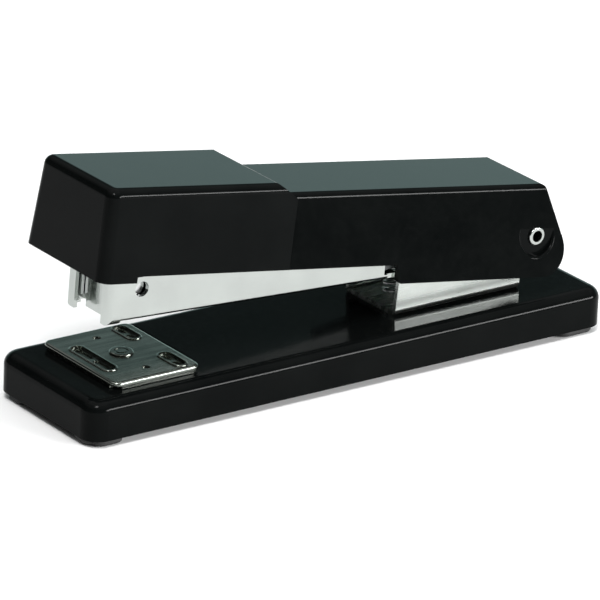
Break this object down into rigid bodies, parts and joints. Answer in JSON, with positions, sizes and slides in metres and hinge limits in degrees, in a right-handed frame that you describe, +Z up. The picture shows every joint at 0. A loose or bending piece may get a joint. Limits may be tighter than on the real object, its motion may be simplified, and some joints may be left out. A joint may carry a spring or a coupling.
{
  "type": "stapler",
  "caption": "Black half-strip desk stapler with a stepped steel cover, a nickel-plated magazine, a spring hinge at the rear and a turning anvil",
  "frame": {"origin": "Centre of the base's footprint, on the surface that the rubber feet stand on", "axes": "+X runs from the staple outlet to the hinge, +Y is across the stapler, +Z is up"},
  "size_m": [0.13, 0.0352, 0.0523],
  "materials": {
    "black_enamel": "gloss",
    "bright_nickel": "polished",
    "dark_nickel": "satin",
    "dark_steel": "satin",
    "spring_steel": "satin",
    "staple_wire": "satin",
    "foot_rubber": "matte"
  },
  "bodies": {
    "base": {"base_shell": "black_enamel", "rubber_feet": "foot_rubber", "hinge_bracket": "bright_nickel", "bracket_rivets": "bright_nickel", "lift_spring": "spring_steel", "hinge_pin": "bright_nickel", "hinge_washers": "spring_steel", "cover_spacers": "spring_steel"},
    "anvil_carrier": {"anvil_post": "dark_nickel", "anvil_button": "dark_nickel", "anvil_spring": "spring_steel"},
    "anvil": {"anvil_plate": "dark_nickel"},
    "magazine": {"magazine_channel": "bright_nickel", "staple_rail": "bright_nickel", "hinge_arm": "dark_steel", "arm_rivets": "bright_nickel", "guide_rod": "spring_steel", "rod_seat": "dark_steel", "pusher_spring": "spring_steel", "staple_strip": "staple_wire"},
    "pusher": {"staple_pusher": "dark_steel"},
    "cover": {"cover_shell": "black_enamel", "driver_blade": "dark_steel", "driver_clamp": "dark_steel", "driver_rivets": "spring_steel", "cover_spring": "spring_steel"}
  },
  "joints": [
    {"name": "magazine_hinge", "type": "hinge", "parent": "base", "child": "magazine", "pos_m": [0.049, 0, 0.02284], "axis": [0, 1, 0], "range_deg": [-4.7, 80], "stiffness_Nm_per_rad": 1.5, "springref_deg": 1.72, "deforming": ["lift_spring"]},
    {"name": "cover_hinge", "type": "hinge", "parent": "magazine", "child": "cover", "pos_m": [0.049, 0, 0.02284], "axis": [0, 1, 0], "range_deg": [-5.3, 79], "stiffness_Nm_per_rad": 1.5, "springref_deg": 1.15, "deforming": ["cover_spring"]},
    {"name": "pusher_slide", "type": "slide", "parent": "magazine", "child": "pusher", "axis": [0.9985, 0, -0.0546], "range_m": [0, 0.016], "deforming": ["pusher_spring"]},
    {"name": "anvil_lift", "type": "slide", "parent": "base", "child": "anvil_carrier", "axis": [0, 0, 1], "range_m": [0, 0.0008], "deforming": ["anvil_spring"]},
    {"name": "anvil_turn", "type": "hinge", "parent": "anvil_carrier", "child": "anvil", "pos_m": [-0.0464, 0, 0.0115], "axis": [0, 0, 1], "range_deg": [0, 180]}
  ]
}
